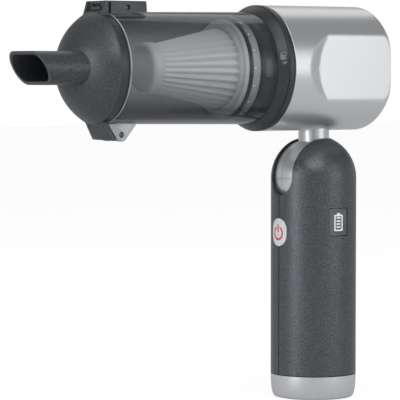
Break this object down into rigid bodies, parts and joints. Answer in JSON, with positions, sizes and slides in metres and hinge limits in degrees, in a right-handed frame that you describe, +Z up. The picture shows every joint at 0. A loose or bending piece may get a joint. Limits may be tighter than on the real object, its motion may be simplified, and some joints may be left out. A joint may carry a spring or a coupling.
{
  "type": "handheld vacuum",
  "caption": "Cordless handheld vacuum: motor unit on a folding battery handle, twist-off dust container with cone filter, and a hinged nozzle cap.",
  "frame": {"origin": "centre of the handle's flat foot", "axes": "+Z up along the handle, -X towards the nozzle, Y across, the plane Y = 0 being the middle plane"},
  "size_m": [0.2116, 0.0666, 0.2111],
  "materials": {
    "dark_grey_plastic": "fine metallic speckle, satin",
    "satin_silver": "satin silver paint on plastic",
    "smoky_clear_plastic": "smoky clear moulded plastic",
    "black_plastic": "matte",
    "black_rubber": "matte",
    "frosted_plastic": "translucent frosted",
    "filter_paper": "pleated filter paper",
    "steel": "machined",
    "sintered_bronze": "sintered",
    "grey_foam": "open-cell foam",
    "button_grey": "satin",
    "window_lens": "tinted, glossy",
    "cell_wrap": "shrink wrap",
    "circuit_board": "solder mask",
    "ferrite": "matte"
  },
  "bodies": {
    "motor_unit": {"motor_housing": "satin_silver", "exhaust_grille": "dark_grey_plastic", "exhaust_foam": "grey_foam", "lock_collar": "dark_grey_plastic", "intake_spigot": "black_plastic", "spigot_seal": "black_rubber", "collar_screw_1": "steel", "collar_screw_2": "steel", "intake_guard": "black_plastic", "fan_shroud": "black_plastic", "diffuser": "black_plastic", "motor_can": "steel", "end_bell": "black_plastic", "shaft_bush_front": "sintered_bronze", "shaft_bush_rear": "sintered_bronze", "magnet_ring": "ferrite", "motor_damper_front": "black_rubber", "motor_damper_rear": "black_rubber", "motor_cradle": "black_plastic", "hinge_arm_left": "satin_silver", "hinge_arm_right": "satin_silver"},
    "fan": {"impeller": "steel", "rotor": "steel", "motor_shaft": "steel"},
    "handle": {"handle_shell_left": "dark_grey_plastic", "handle_shell_right": "dark_grey_plastic", "hinge_axle": "steel", "friction_washer_left": "sintered_bronze", "friction_washer_right": "sintered_bronze", "handle_screw_1": "steel", "handle_screw_2": "steel", "base_cap": "satin_silver", "base_screw_1": "steel", "base_screw_2": "steel", "battery_cell_1": "cell_wrap", "battery_cell_2": "cell_wrap", "battery_cell_3": "cell_wrap", "cell_holder_lower": "black_plastic", "cell_holder_upper": "black_plastic", "control_board": "circuit_board", "charge_socket": "steel", "switch_board": "circuit_board", "power_switch": "black_plastic", "indicator_board": "circuit_board", "battery_window": "window_lens"},
    "button": {"power_button": "button_grey"},
    "container": {"dust_container": "smoky_clear_plastic", "filter_ring": "frosted_plastic", "filter_gasket": "black_rubber", "filter_flange": "frosted_plastic", "filter_core": "frosted_plastic", "filter_media": "filter_paper", "filter_nose": "frosted_plastic", "latch_pin": "steel", "latch_spring": "steel", "cap_hinge_pin": "steel"},
    "latch": {"release_latch": "dark_grey_plastic"},
    "cap": {"front_cap": "dark_grey_plastic", "cap_seal": "black_rubber"},
    "flap": {"inlet_flap": "black_rubber"}
  },
  "joints": [
    {"name": "fan_spin", "type": "hinge", "parent": "motor_unit", "child": "fan", "pos_m": [0, 0, 0.177], "axis": [1, 0, 0], "continuous": true},
    {"name": "handle_fold", "type": "hinge", "parent": "motor_unit", "child": "handle", "pos_m": [0, 0, 0.1182], "axis": [0, 1, 0], "range_deg": [0, 90]},
    {"name": "button_press", "type": "slide", "parent": "handle", "child": "button", "axis": [1, 0, 0], "range_m": [0, 0.001], "stiffness_N_per_m": 800, "springref_m": -0.001},
    {"name": "container_twist", "type": "hinge", "parent": "motor_unit", "child": "container", "pos_m": [-0.045, 0, 0.177], "axis": [1, 0, 0], "range_deg": [0, 25]},
    {"name": "latch_rock", "type": "hinge", "parent": "container", "child": "latch", "pos_m": [-0.1245, 0, 0.2077], "axis": [0, 1, 0], "range_deg": [0, 4], "stiffness_Nm_per_rad": 0.5, "springref_deg": -6.88, "deforming": ["latch_spring"]},
    {"name": "cap_hinge", "type": "hinge", "parent": "container", "child": "cap", "pos_m": [-0.1274, 0, 0.1431], "axis": [0, -1, 0], "range_deg": [0, 95]},
    {"name": "flap_swing", "type": "hinge", "parent": "cap", "child": "flap", "pos_m": [-0.1484, 0, 0.18465], "axis": [0, -1, 0], "range_deg": [0, 60]}
  ]
}
